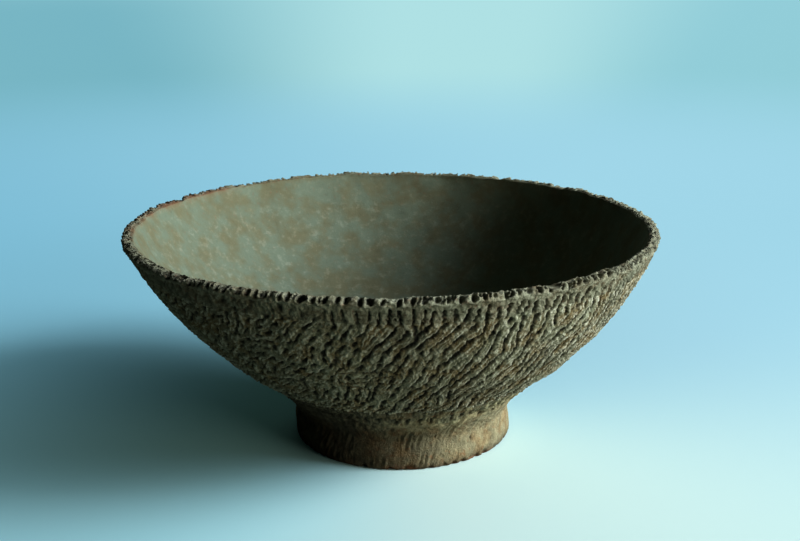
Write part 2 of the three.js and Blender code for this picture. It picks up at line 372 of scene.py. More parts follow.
ring_outer = spaced(
    [
        (foot_inner_radius + foot_inner_taper + foot_edge_round, 0),
        (foot_base_radius - foot_edge_round, 0),
        (foot_base_radius - foot_edge_round * 0.3, foot_edge_round * 0.3),
        (foot_base_radius, foot_edge_round),
        (foot_base_radius, foot_flare_height),
        (foot_seam_radius, foot_seam_height),
    ],
    foot_row,
)
ring_places = places(ring_outer, foot_columns)
ring_height = ring_outer[:, 1:]
edge_wear = eased(ring_height, 3.5, 0.0)


def foot_marks(soil_and_shade_in_hollows):
    """Soil and painted shade in the hollows. Smoke and painted shade darken the foot at the left, away from
    the lamp, and the right is rubbed pale and painted as lit.
    """
    degrees = np.degrees(turn_between(turns(foot_columns), 0))
    smoke_and_shade = eased(degrees, -62, -122) * eased(degrees, -185, -165)
    rubbed_and_lit = eased(degrees, -85, -45) * eased(degrees, 40, 0)
    return {"soil": np.maximum(soil_and_shade_in_hollows, 0.85 * smoke_and_shade), "worn_and_lit": 0.3 * rubbed_and_lit + 0 * soil_and_shade_in_hollows}


outer_edge = ring_outer[:, :1] > foot_base_radius - 4
chips = eased(lumps(ring_places, 4.5, 21), 0.25, 0.95) * edge_wear * outer_edge
ring_pits = pitted(ring_places * upright, 2.6, 0.75, 22)
ring_depth = (
    wiped(ring_places, 0.24, 23) * eased(ring_height, 0.5, 4)
    + 0.35 * lumps(ring_places, 24, 24) * eased(ring_height, 0, 3)
    + 0.08 * lumps(ring_places, 2.2, 26) * eased(ring_height, 0, 3)
    + 1.5 * chips
    + 0.9 * ring_pits * eased(ring_height, 1, 3)
)
broken_edge = edge_wear * eased(lumps(ring_places, 8, 27), -0.1, 0.9)
# Soil and painted shade in the pits and chips, and the ring darker towards its lower edge
ring_soil_and_shade = np.maximum(np.maximum(ring_pits, 0.7 * chips), 0.65 * eased(ring_height, 6, 0.5))

# The face that it stands on has worn nearly flat
ring_depth[ring_outer[:, 1] < 0.01] *= 0.3

# The ring and the fillets stop this far under the bowl's underside
underside_gap = 0.3
ring_top_radii = np.linspace(foot_waist_radius, foot_inner_radius, 4)
ring_top = [tuple(wall_point(wall_angle(radius), -underside_gap)) for radius in ring_top_radii]
ring_hidden = spaced([(foot_waist_radius, foot_seam_height), *ring_top], 4)
ring_inner = spaced([ring_top[-1], (foot_inner_radius + foot_inner_taper, foot_edge_round)], 1.5)[1:]
inner_places = places(ring_inner, foot_columns)
turned_piece(
    "foot_ring",
    [
        skin(ring_outer, foot_columns, ring_depth, **foot_marks(ring_soil_and_shade), ember=broken_edge),
        skin(ring_hidden, foot_columns),
        # The inner face, in the foot's hollow, is darkened a little by soil and painted shade
        skin(ring_inner, foot_columns, 0.3 * lumps(inner_places, 14, 25), ember=0.4, soil=0.2),
    ],
    wiped_foot_clay,
)


# Inner foot fillet
# Luting clay inside the hollow of the foot, pushed with a fingertip into the angle under the bowl and left
# rough. It holds the ring to the base pat.


def curved_face(start, corner, end, count):
    """A concave face of luting clay."""
    t = np.linspace(0, 1, count)[:, None]
    return (1 - t) ** 2 * np.array(start) + 2 * t * (1 - t) * np.array(corner) + t**2 * np.array(end)


inner_columns = 384
inner_fillet_reach = 8
inner_fillet_drop = 7
inner_fillet_tuck = 4.9
inner_fillet_edge = 0.4
inner_side = foot_inner_radius - underside_gap
inner_corner = wall_point(wall_angle(inner_side), -underside_gap)
inner_low = inner_corner[1] - inner_fillet_drop
inner_thin = wall_point(wall_angle(foot_inner_radius - inner_fillet_reach), -underside_gap)
inner_face = curved_face(
    inner_thin - (0, inner_fillet_edge),
    (inner_side - inner_fillet_edge, inner_low + inner_fillet_tuck),
    (inner_side - inner_fillet_edge, inner_low),
    14,
)
inner_dabs = 0.35 * lumps(places(inner_face, inner_columns), 9, 41)
turned_piece(
    "inner_foot_fillet",
    [
        # The fillet, in the foot's hollow, is darkened a little by soil and painted shade
        skin(inner_face, inner_columns, inner_dabs, soil=0.25, ember=0.3),
        skin(spaced([(inner_side, inner_low), tuple(inner_corner), tuple(inner_thin)], 4), inner_columns),
    ],
    wiped_foot_clay,
)


# Base pat
# A round of clay patted flat on the knee, which the wall grows from. Its upper side is the bowl's floor,
# smoothed with a wet hand. Its underside shows in the hollow of the foot and is left as it was patted.

wall_thickness_low = 7.5
wall_thickness_high = 5
base_thickness = 9
base_flat_radius = 28
base_pat_radius = 60.4
rim_strip_width = 8.9
lap_run = 7.1
lap = lap_run / side_curve_radius
lip_angle = wall_angle(arc_high[0])
pat_angle = wall_angle(base_pat_radius)
strip_angle = lip_angle - rim_strip_width / side_curve_radius
inner_row = 3.3


def wall_thickness(angle):
    """The wall thins evenly from the base pat to the lip."""
    up = np.clip((angle - pat_angle) / (lip_angle - pat_angle), 0, 1)
    return wall_thickness_low + (wall_thickness_high - wall_thickness_low) * up


def inner_wall(high_angle, low_angle, step=inner_row):
    """The inner face of the wall, from a higher angle down to a lower one."""
    count = max(2, math.ceil((high_angle - low_angle) * side_curve_radius / step) + 1)
    angle = np.linspace(high_angle, low_angle, count)
    return wall_point(angle, wall_thickness(angle))


def inner_swell(place):
    """Low swells and hollows that the hand leaves inside."""
    return 0.28 * lumps(place, 34, 51) + 0.10 * lumps(place, 13, 52)


# Earthenware smoothed wet above, and patted and smoked dark brown below, where little air came in the fire
smoothed_base_clay = fired_clay(
    "smoothed_base_earthenware",
    body="#5d5945",
    smoked="#3b382c",
    stain="#524730",
    pale_and_lit="#7a765f",
    soil="#201d15",
    ember="#6f452a",
    grain_relief=0.16,
)
flat_angle = wall_angle(base_flat_radius)
underside_height = wall_point(flat_angle)[1]
floor_height = underside_height + base_thickness
floor_reach = side_curve_radius - wall_thickness_low
axis_gap = 0.4
floor_angle = math.acos((arc_centre[1] - floor_height) / floor_reach)
pat_angles = np.linspace(flat_angle, pat_angle, 16)
pat_flat = spaced([(axis_gap, underside_height), wall_point(flat_angle)], 2)
pat_underside = np.concatenate([pat_flat, wall_point(pat_angles)[1:]])
pat_dabs = 0.3 * lumps(places(pat_underside, inner_columns), 16, 53)
pat_lap = spaced([wall_point(pat_angle), wall_point(pat_angle - lap, wall_thickness_low)], 4)[1:-1]
pat_inner = inner_wall(pat_angle - lap, floor_angle, 2.2)
pat_floor = spaced([pat_inner[-1], (axis_gap, floor_height)], 2)[1:]
pat_upper = np.concatenate([pat_inner, pat_floor])
turned_piece(
    "base_pat",
    [
        # The patted underside, in the foot's hollow, is darkened a little by soil and painted shade
        skin(pat_underside, inner_columns, pat_dabs, soil=0.15),
        skin(pat_lap, inner_columns),
        skin(pat_upper, inner_columns, inner_swell(places(pat_upper, inner_columns)), smoothed=1.0),
    ],
    smoothed_base_clay,
    domed=True,
)


# Wall courses
# Four flattened strips of clay, lapped onto each other and beaten together with a cord-wrapped paddle. Each
# blow leaves a patch of side by side grooves, beaded by the cord's twist, and cuts across the ones before it.
# The inside, where the potter held a smooth stone against the blows, is plain.

course_count = 4
wall_columns = 1664
wall_rows = 50

# The lowest course has two more rows under the foot's fillet
low_wall_rows = wall_rows - 2

# Earthenware beaten with cord and fired smoky: grey-olive, with dark soil and painted shade in the prints,
# and pale ridges, worn and painted as lit
cord_marked_clay = fired_clay(
    "cord_marked_earthenware",
    body="#95977a",
    smoked="#68664f",
    stain="#85744c",
    pale_and_lit="#d2d2ba",
    soil="#17150f",
    ember="#78502f",
    grain_relief=0.5,
)

# How the cord marks lie round the pot: their lean from level and how it varies, their spacing and depth, the
# size of a blow, and how far its prints are broken into short dashes
zone_turn = [-180, -152, -140, -125, -110, -95, -80, -65, -50, 0, 60, 120, 180]
zone_lean = [44, 29, 24, 41, 54, 62, 69, 76, 89, 86, 72, 60, 48]
zone_swerve = [9, 9, 9, 13, 14, 10, 8, 8, 10, 8, 8, 8, 9]
zone_pitch = [4.4, 4.3, 4.2, 4.2, 4.7, 5.4, 5.7, 5.4, 4.8, 4.5, 4.6, 4.5, 4.4]
zone_depth = [1.3, 1.35, 1.4, 1.65, 1.75, 1.9, 2.1, 1.95, 1.75, 1.5, 1.55, 1.45, 1.3]
zone_length = [24, 18, 16, 14, 17, 26, 32, 32, 28, 30, 30, 28, 24]
zone_broken = [0.2, 0.2, 0.4, 0.8, 0.7, 0.3, 0, 0, 0, 0, 0.1, 0.2, 0.2]
lean_bend = 0.004
middle_height = 73
marks_low = 15
row_of_blows = 8.5
cord_twist = 7.4
grooves_kept = 40
strip_length = (lip_angle - wall_angle(foot_waist_radius)) * side_curve_radius


def wall_length(angle):
    """How far up the wall's outer face a point lies from the waist of the foot, in millimetres."""
    return (angle - wall_angle(foot_waist_radius)) * side_curve_radius


def at_zone(values, degrees):
    """A value of the zones at a place round the pot."""
    return np.interp(degrees, zone_turn, values)


def paddle_blows():
    """The blows in the order they fell: their places and sizes, and the lean, pitch and depth of cords."""
    rng = np.random.default_rng(7)
    blows = []
    for height in np.arange(marks_low, strip_length + 6, row_of_blows):
        radius = wall_point(wall_angle(foot_waist_radius) + height / side_curve_radius)[0]
        degrees = -180 + rng.uniform(0, 4)
        while degrees < 180:
            length = at_zone(zone_length, degrees) * rng.uniform(0.8, 1.2)
            lean = at_zone(zone_lean, degrees) + (height - middle_height) ** 2 * lean_bend
            blows.append(
                {
                    "turn": math.radians(degrees),
                    "height": height + rng.normal(0, 3),
                    "lean": math.radians(lean + rng.normal(0, at_zone(zone_swerve, degrees))),
                    "pitch": at_zone(zone_pitch, degrees) * rng.uniform(0.9, 1.12),
                    "depth": at_zone(zone_depth, degrees) * rng.uniform(0.8, 1.15),
                    "length": length,
                    "width": length * rng.uniform(0.7, 0.95),
                    "broken": at_zone(zone_broken, degrees),
                    "shape": rng.uniform(0, 2 * math.pi, 6),
                    "grooves": rng.uniform(0, 1, (3, grooves_kept)),
                }
            )
            degrees += math.degrees(length * 0.46 / radius)
    rng.shuffle(blows)
    return blows


def cord_print(blow, along, across, ragged):
    """How deep one blow's cords pressed, along and across the cords in millimetres from its middle."""
    one, two, three, four, five, slip = blow["shape"]
    broken = blow["broken"]

    # The cords wander a little, and lie side by side, each offset from -1 to 1 over its share of the paddle
    ragged = ragged * (1 + 0.5 * broken)
    across = across + 0.7 * np.sin(along / 6.3 + one) + 0.3 * np.sin(along / 2.7 + across / 5 + two) + ragged
    cords = across / blow["pitch"] + slip / 6.3
    cord = np.floor(cords).astype(int)
    offset = 2 * (cords - cord) - 1

    # Each cord has its own start of the twist, force and width, and bites deepest where its twist swells
    start, force, slim = blow["grooves"][:, cord % grooves_kept]
    twist = 2 * math.pi * (along / cord_twist + start + 0.3 * offset)
    bead = 0.5 + 0.5 * np.cos(twist + 1.2 * np.sin(along / 9 + three))
    half = (0.36 + 0.22 * slim) * (0.75 + 0.25 * bead)
    trough = np.clip(1 - np.abs(offset / half) ** 1.2, 0, 1)

    # Loose fibres leave fine lines 1.9 and 2.7 mm apart, and between its swells a broken print is fainter
    fibres = np.sin(across * 2 * math.pi / 1.9 + 1.5 * np.sin(along / 2.3 + four) + 6 * start)
    fibres += np.sin(across * 2 * math.pi / 2.7 + 1.8 * np.sin(along / 3.4 + five) + 9 * slim)
    firm = 0.5 - 0.35 * broken
    return blow["depth"] * trough * (firm + (1 - firm) * bead) * (0.6 + 0.6 * force) + 0.26 + 0.14 * fibres


def beaten(angle, columns):
    """Depth of the cord marks over rings of the wall at these angles up its arc."""
    height = wall_length(angle)[:, None]
    radius = wall_point(angle)[:, :1]
    turn = turns(columns)
    depth = np.full((len(angle), columns), 0.3)
    place = places(wall_point(angle), columns)
    ragged = 0.30 * lumps(place, 3.6, 67) + 0.14 * lumps(place, 1.7, 68)
    for blow in blows:
        reach = max(blow["length"], blow["width"])
        rows = np.nonzero(np.abs(height[:, 0] - blow["height"]) < reach)[0]
        if not len(rows):
            continue
        aside = turn_between(turn, blow["turn"])
        near = np.nonzero(np.abs(aside) < reach / radius[rows].min())[0]
        x = aside[near] * radius[rows]
        y = height[rows] - blow["height"] + 0 * x
        along = x * math.cos(blow["lean"]) + y * math.sin(blow["lean"])
        across = y * math.cos(blow["lean"]) - x * math.sin(blow["lean"])
        edge = (2 * along / blow["length"]) ** 4 + (2 * across / blow["width"]) ** 4
        hold = eased(edge + 0.25 * np.sin(across / 2.1 + blow["shape"][3]), 1.25, 0.55)
        patch = np.ix_(rows, near)
        depth[patch] += (cord_print(blow, along, across, ragged[patch]) - depth[patch]) * hold
    return depth


# Upright dents pressed side by side under the lip, clear at the front and faint at the left
dent_pitch = 4.5
dent_count = round(2 * math.pi * mouth_radius / dent_pitch)
dent_rng = np.random.default_rng(11)
dent_shift, dent_width, dent_top, dent_bottom, dent_force = dent_rng.uniform(0, 1, (5, dent_count))
dent_turn = [-180, -130, -102, -94, -60, -48, 0, 60, 120, 180]
dent_clear = [0.45, 0.3, 0.55, 1.0, 1.0, 0.6, 0.5, 0.8, 0.7, 0.45]


def upright_dents(below, columns, ragged):
    """Depth of the dents, so far below the lip's foot, and how far they take the place of the cord marks."""
    turn = turns(columns)
    degrees = np.degrees(turn_between(turn, 0))
    sway = below * 0.02 + 0.12 * np.sin(below / 3 + turn * 40)
    dents_round = turn * dent_count / (2 * math.pi) + sway + ragged
    dent = np.floor(dents_round).astype(int) % dent_count
    offset = (dents_round - np.floor(dents_round) - 0.5) - (dent_shift[dent] - 0.5) * 0.24
    trough = np.clip(1 - np.abs(offset / (0.15 + 0.13 * dent_width[dent])) ** 1.4, 0, 1)
    top = 0.9 + 2.2 * dent_top[dent]
    bottom = 9.5 + 4.5 * dent_bottom[dent]
    ends = eased(below, top - 0.8, top + 0.8) * eased(below, bottom + 2, bottom - 2)
    clear = np.interp(degrees, dent_turn, dent_clear) * (0.65 + 0.35 * dent_force[dent])
    band = eased(below, 12.5, 8) + 0 * clear
    return 0.1 + 1.6 * trough * ends * clear, band * np.minimum(1, 0.25 + clear)


# Long, nearly level grooves at the front left, where the paddle's edge slid: degrees round, height and length
slid_grooves = [(-97, 71, 26), (-95, 67, 22), (-100, 62, 15), (-102, 58.5, 13), (-99, 55, 12)]
slid_width = 0.6
slid_depth = 1.2


def slid(angle, columns):
    """Depth of the slid grooves over rings of the wall."""
    height = wall_length(angle)[:, None]
    radius = wall_point(angle)[:, :1]
    depth = np.zeros((len(angle), columns))
    for middle, level, length in slid_grooves:
        aside = turn_between(turns(columns), math.radians(middle)) * radius
        off = height - level - 0.10 * aside - 0.5 * np.sin(aside / 4 + middle)
        inside = eased(np.abs(aside), length / 2, length / 2 - 4)
        depth = np.maximum(depth, slid_depth * np.exp(-((off / slid_width) ** 2)) * inside)
    return depth


# A fine crack runs down from the lip at the front right
crack_turn = math.radians(-49.6)
crack_length = 14
crack_half = 0.9
crack_depth = 2.0


def crack(angle, columns):
    """Depth of the crack over rings of the wall."""
    below = strip_length - wall_length(angle)[:, None]
    aside = turn_between(turns(columns), crack_turn) * wall_point(angle)[:, :1]
    off = aside + 0.33 * below + 0.4 * np.sin(below * 1.1)
    return crack_depth * eased(np.abs(off), crack_half, 0) * eased(below, crack_length, crack_length - 3)


def wall_depth(angle, columns):
    """How far the outer face is pressed in over rings of the wall, and how much of that is marks."""
    place = places(wall_point(angle), columns)
    height = wall_length(angle)[:, None]
    slides = slid(angle, columns)
    cords = np.maximum(beaten(angle, columns) * (1 - 0.7 * (slides > 0.2)), slides)
    foot_fade = eased(height + 2.5 * lumps(place, 9, 61), 6, 16)
    fade = foot_fade * eased(height, strip_length - 0.2, strip_length - 1.6)
    dents, hold = upright_dents(strip_length - height, columns, 0.10 * lumps(place, 2, 69))
    pressed = (cords + (dents - cords) * hold) * fade * (1 + 0.12 * lumps(place, 9, 62))
    above_foot = eased(height, 22, 34) * eased(height, strip_length, strip_length - 8)
    swell = 0.35 * lumps(place, 30, 63) * above_foot
    foot_swell = 0.3 * lumps(place, 30, 30) * eased(height, 34, 24)
    rough = 0.19 * lumps(place, 1.4, 66) + 0.15 * lumps(place, 2.4, 64) + 0.12 * lumps(place, 5, 65)
    pores = pitted(place, 2.0, 0.6, 60) * fade
    pressed = pressed + 0.7 * pores + crack(angle, columns)
    return pressed + swell + rough * eased(height, 8, 14) + foot_swell, pressed


def outer_marks(pressed):
    """The clay's colour marks from the relief: soil and painted shade lie in the hollows, and the ridges are
    rubbed pale and painted as lit.
    """
    return {"soil": eased(pressed, 0.45, 1.0), "worn_and_lit": eased(pressed, 0.36, 0.08)}


blows = paddle_blows()
course_step = (strip_angle - pat_angle) / course_count
fillet_reach_radius = 72.9
fillet_end_angle = wall_angle(fillet_reach_radius)


def wall_course(index):
    """One course of the wall, counted up from the base."""
    low = pat_angle + course_step * index
    high = low + course_step
    rows = wall_rows if low > fillet_end_angle else low_wall_rows
    shown = np.linspace(max(low, fillet_end_angle), high, rows)
    depth, pressed = wall_depth(shown, wall_columns)
    bands = []
    if low < fillet_end_angle:
        hidden = np.linspace(low, fillet_end_angle, 3)[:-1]
        bands.append(skin(wall_point(hidden), wall_columns))

        # The fillet has half as many columns, so every other point lies on its straight edges
        depth[0, 1::2] = (depth[0, 0::2] + np.roll(depth[0, 0::2], -1)) / 2
    inner = inner_wall(high - lap, low - lap)
    bands.append(skin(wall_point(shown), wall_columns, depth, **outer_marks(pressed)))
    bands.append(skin(inner, wall_columns, inner_swell(places(inner, wall_columns)), smoothed=1.0))
    turned_piece(f"wall_course_{index + 1}", bands, cord_marked_clay)


for index in range(course_count):
    wall_course(index)


# Outer foot fillet
# A coil of the foot's clay, smoothed with a wet thumb into the angle between the ring and the bowl to lute
# them. It runs on from the ring's side, thins out under the bowl, and was beaten there along with the wall.

fillet_corner_height = 20.2
fillet_rows = 46
fillet_start = (foot_seam_radius, foot_seam_height)
fillet_corner = (foot_seam_radius, fillet_corner_height)
fillet_end = wall_point(fillet_end_angle)
fillet_face = curved_face(fillet_start, fillet_corner, fillet_end, fillet_rows)
fillet_places = places(fillet_face, foot_columns)
fillet_up = np.linspace(0, 1, fillet_rows)[:, None]
fillet_pits = pitted(fillet_places * upright, 2.8, 0.5 + 0.6 * fillet_up, 32)
seam_fade = eased(fillet_up, 1.0, 0.9)
beaten_share = eased(fillet_up, 0.2, 0.8)
beaten_depth, beaten_pressed = wall_depth(wall_angle(fillet_face[:, 0]), foot_columns)
fillet_depth = (
    wiped(fillet_places, 0.24, 23) * seam_fade * eased(fillet_up, 1.0, 0.5)
    + (0.10 * lumps(fillet_places, 2.2, 26) + 0.32 * lumps(fillet_places, 3.6, 33) * fillet_up) * seam_fade
    + 0.35 * lumps(fillet_places, 24, 24) * (1 - beaten_share)
    + 1.0 * fillet_pits * seam_fade * eased(fillet_up, 0, 0.1)
    + beaten_depth * beaten_share
)
fillet_marks = foot_marks(fillet_pits)
beaten_marks = outer_marks(beaten_pressed)
# Where the fillet was beaten, soil and painted shade lie in the prints and the ridges are worn and painted as
# lit
fillet_marks["soil"] = np.maximum(fillet_marks["soil"], beaten_marks["soil"] * beaten_share)
fillet_marks["worn_and_lit"] = np.maximum(fillet_marks["worn_and_lit"], 0.8 * beaten_marks["worn_and_lit"] * beaten_share)
fillet_back = np.linspace(fillet_reach_radius - 6, foot_waist_radius + underside_gap, 6)
fillet_hidden = [tuple(wall_point(wall_angle(radius), -underside_gap)) for radius in fillet_back]
fillet_hidden += [(foot_waist_radius + underside_gap, foot_seam_height)]
turned_piece(
    "outer_foot_fillet",
    [
        skin(fillet_face, foot_columns, fillet_depth, **fillet_marks, smoothed=0.5 * beaten_share),
        skin(spaced(fillet_hidden, 5), foot_columns),
    ],
    wiped_foot_clay,
)


# Rim strip
# The last strip closes the wall with a flat-topped lip, a little proud outside. Slanting oval notches were
# pressed side by side into its outer edge with a stick. The teeth between them are rubbed and painted pale as
# lit, and a few are broken.

lip_top_width = 2.6
lip_edge_bevel = 0.8
notch_pitch = 4.9
notch_count = round(2 * math.pi * mouth_radius / notch_pitch)
notch_half = np.array([4.1, 1.2, 2.6])
notch_turn = [-180, -110, -80, -60, 0, 180]
notch_wide = [1.0, 1.05, 0.95, 1.15, 1.2, 1.0]
notch_slant = 14
notch_drop = 0.25
nick_size = np.array([2.6, 0.65, 1.8])
nick_share = 0.85
lip_row = 0.36

# Chips broken off the lip: degrees round, width and depth
chips_off_lip = [(-58.8, 6.5, 1.7), (155, 7, 1.6), (-12, 5, 0.9), (60, 6, 1.2), (-148, 4, 0.8)]

# Earthenware pressed with a stick and handled: darker than the wall, with black soil and painted shade in the
# notches and a red tinge where the fire licked the lip
notched_lip_clay = fired_clay(
    "notched_lip_earthenware",
    body="#7e7f66",
    smoked="#5a5b48",
    stain="#6c6146",
    pale_and_lit="#b0b299",
    soil="#15150f",
    ember="#86452b",
)


def press_pit(place, moved, degrees, half, slant, middle, way):
    """One pit pressed into the rings of places.

    The tool's round end has these half sizes, inwards, along the lip and up it, and stops with its middle so
    far out of and above the lip's top edge. The clay under it moves the way it was pressed.
    """
    columns = place.shape[1]
    turn = math.radians(degrees)
    out = np.array([math.cos(turn), math.sin(turn), 0])
    side = np.array([-math.sin(turn), math.cos(turn), 0])
    up = np.array([0, 0, 1.0])
    long_axis = up * math.cos(slant) + side * math.sin(slant)
    short_axis = side * math.cos(slant) - up * math.sin(slant)
    axes = np.stack([out, short_axis, long_axis]) / np.array(half)[:, None]
    centre = out * (mouth_radius + middle[0]) + up * (bowl_height + middle[1])
    press = out * way[0] + up * way[1]
    reach = math.ceil((half[1] + half[2]) / (2 * math.pi * mouth_radius) * columns)
    near = (np.arange(-reach, reach + 1) + round(turn / (2 * math.pi) * columns)) % columns
    offset = (place[:, near] - centre) @ axes.T
    toward = axes @ press
    inside = (offset**2).sum(-1) < 1
    a, b, c = toward @ toward, offset @ toward, (offset**2).sum(-1) - 1
    travel = np.where(inside, (-b + np.sqrt(np.maximum(b * b - a * c, 0))) / a, 0)
    place[:, near] += travel[..., None] * press
    moved[:, near] += travel


def notch_pits(place):
    """The lip's surface pushed in by the notches and chips, and how far it moved."""
    rng = np.random.default_rng(17)
    moved = np.zeros(place.shape[:2])
    step = 360 / notch_count
    for index in range(notch_count):
        degrees = -180 + step * (index + 0.5 + rng.normal(0, 0.12))
        wide = np.interp(degrees, notch_turn, notch_wide)
        half = notch_half * rng.uniform([0.6, 0.7, 0.7], [1.05, 1.25, 1.1]) * [1, wide, 1]
        slant = math.radians(notch_slant + rng.normal(0, 10))
        sink = rng.normal(0, 0.3)
        press_pit(place, moved, degrees, half, slant, (0.1 + sink, sink - notch_drop), (-0.86, -0.5))
        nick_half = nick_size * rng.uniform(0.7, 1.3, 3)
        nick_turn = degrees + step * rng.uniform(0.38, 0.62)
        nick_place = (rng.uniform(-2.6, 0.4), rng.uniform(-1.2, 0.6))
        if rng.uniform() < nick_share:
            press_pit(place, moved, nick_turn, nick_half, slant * 2, nick_place, (-0.7, -0.7))

    # A chip is a clean break, so it doesn't count as pressed clay, which gets soil and painted shade
    for degrees, width, drop in chips_off_lip:
        press_pit(place, 0 * moved, degrees, (5.5, width / 2, drop), 0.0, (-1.6, 0.2), (0, -1))
    return place, moved


strip_rows = np.linspace(strip_angle, lip_angle, 17)
lip_outer = spaced(
    [
        tuple(arc_high),
        (mouth_radius, lip_foot_height + lip_step),
        (mouth_radius, bowl_height - lip_edge_bevel),
        (mouth_radius - lip_edge_bevel * 0.3, bowl_height - lip_edge_bevel * 0.3),
        (mouth_radius - lip_edge_bevel, bowl_height),
        (mouth_radius - lip_edge_bevel - lip_top_width, bowl_height),
    ],
    lip_row,
)[1:]
lip_inner_radius = wall_point(lip_angle, wall_thickness_high)[0]
lip_inner = spaced([lip_outer[-1], (lip_inner_radius, bowl_height - lip_edge_bevel)], 0.7)[1:]
inner_down = inner_wall(lip_angle, strip_angle - lap, 2.6)
strip_inner = np.concatenate([lip_inner, spaced([lip_inner[-1], inner_down[0]], 1)[1:], inner_down[1:]])
strip_outer = np.concatenate([wall_point(strip_rows), lip_outer])

strip_depth, strip_pressed = wall_depth(strip_rows, wall_columns)
lip_places = places(lip_outer, wall_columns)
lip_grain = 0.26 * lumps(lip_places, 1.7, 73) + 0.24 * lumps(lip_places, 3, 71)
lip_rough = lip_grain + 0.14 * lumps(lip_places, 7, 72)
depth = np.concatenate([strip_depth, lip_rough])


def notched(outline, depth):
    """A band of skin with the notches pressed in and the lip's line waved, and how far the clay moved."""
    radius, height, _ = skin(outline, wall_columns, depth)
    turn = turns(wall_columns)
    place, moved = notch_pits(np.stack([radius * np.cos(turn), radius * np.sin(turn), height], -1))
    lip_line = places(np.array([[mouth_radius, bowl_height]]), wall_columns)
    wave = 0.32 * lumps(lip_line, 26, 75) + 0.2 * lumps(lip_line, 9, 76)
    height = place[..., 2] + wave * eased(place[..., 2], lip_foot_height - 1, bowl_height)
    return np.hypot(place[..., 0], place[..., 1]), height, moved


radius, height, moved = notched(strip_outer, depth)
pressed = np.concatenate([strip_pressed, 0 * lip_rough])
# Soil and painted shade in the prints and notches, and the ridges and teeth worn and painted pale as lit
soil = np.maximum(eased(pressed, 0.45, 1.1), 0.8 * eased(moved, 0.3, 2.2))
teeth = eased(moved, 0.3, 0.0) * (height > lip_foot_height + 1)
worn_and_lit = np.maximum(0.6 * eased(pressed, 0.42, 0.1), 0.55 * teeth)
lip_degrees = np.degrees(turn_between(turns(wall_columns), 0))
reddened = eased(np.abs(lip_degrees - 155), 32, 12) * 0.45 + eased(np.abs(lip_degrees + 175), 14, 4) * 0.25
on_lip = eased(height, lip_foot_height - 1, lip_foot_height + 1)
outer_band = (radius, height, {"soil": soil, "worn_and_lit": worn_and_lit * (1 - 0.8 * reddened), "ember": reddened * on_lip})
under_lip = eased(strip_inner[:, 1:], bowl_height, lip_foot_height)
strip_swell = inner_swell(places(strip_inner, wall_columns)) * under_lip
inner_radius, inner_height, inner_moved = notched(strip_inner, strip_swell)
inner_lip = eased(strip_inner[:, 1:], bowl_height - 1.6, bowl_height - 0.2)
# Inside, soil and painted shade lie where the notches pressed over the lip
inner_marks = {"smoothed": 1 - inner_lip, "ember": reddened * inner_lip, "soil": eased(inner_moved, 0.3, 1.6)}
turned_piece(
    "rim_strip",
    [outer_band, (inner_radius, inner_height, inner_marks)],
    notched_lip_clay,
)


# Studio
# A pale blue paper floor that runs out of sight. One large cool lamp at the right gives nearly all the light,
# a warm bounce in front and a weak one behind soften the pot's dark side, and a faint one fills the shadow.

photo_width = 800
focal_pixels = 1111
sensor_width = 36
camera_place = Vector((4.13, -536.4, 237.7)) * mm
camera_fall = 16.0756
camera_roll = -0.5398

camera_data = bpy.data.cameras.new("camera")
camera_data.sensor_width = sensor_width
camera_data.lens = focal_pixels / photo_width * sensor_width
camera = bpy.data.objects.new("camera", camera_data)
facing = Euler((math.radians(90 - camera_fall), 0, 0)).to_matrix()
rolled = facing @ Matrix.Rotation(math.radians(camera_roll), 3, "Z")
camera.matrix_world = Matrix.Translation(camera_place) @ rolled.to_4x4()
bpy.context.scene.collection.objects.link(camera)
bpy.context.scene.camera = camera

floor_radius = 30
floor_sides = 120
floor_mesh = bpy.data.meshes.new("paper_floor")
floor_turns = [math.radians(i * 360 / floor_sides) for i in range(floor_sides)]
floor_edge = [(floor_radius * math.cos(turn), floor_radius * math.sin(turn), 0) for turn in floor_turns]
floor_mesh.from_pydata(floor_edge, [], [range(floor_sides)])
floor = bpy.data.objects.new("paper_floor", floor_mesh)
bpy.context.scene.collection.objects.link(floor)

# Pale blue paper, matt. Its tones paint the lamp's fall of light: palest at the front right, deeper at the
# left and the back. Further off it glows as a lit backdrop does, a painted light that also lightens the far
# part of the pot's shadow.
lit_paper_front_left = "#b2e0e4"
lit_paper_front_right = "#d2e9e1"
lit_paper_back_left = "#a2d5e2"
lit_paper_back_right = "#aed3db"
card_side = "#7a877d"
open_side = "#b4bcb4"
glow_front_left = "#96cedc"
glow_front_right = "#d2f2f3"
glow_middle_left = "#8bc5db"
glow_middle_right = "#acdcec"
lit_backdrop_left = "#86bfcc"
lit_backdrop_middle = "#b9e5e8"
lit_backdrop_right = "#9fd4de"
near_edge = 0.06
far_edge = 0.6
left_side = -0.8
right_side = 0.35

paper = bpy.data.materials.new("pale_blue_paper")
paper.use_nodes = True
tree = paper.node_tree
tree.nodes.clear()
where = add_node(tree, "ShaderNodeTexCoord", {}).outputs["Object"]
distance = add_node(tree, "ShaderNodeVectorMath", {0: where}, operation="LENGTH").outputs["Value"]
bearing = add_node(tree, "ShaderNodeVectorMath", {0: where}, operation="NORMALIZE").outputs["Vector"]
aside, back, _ = add_node(tree, "ShaderNodeSeparateXYZ", {"Vector": bearing}).outputs

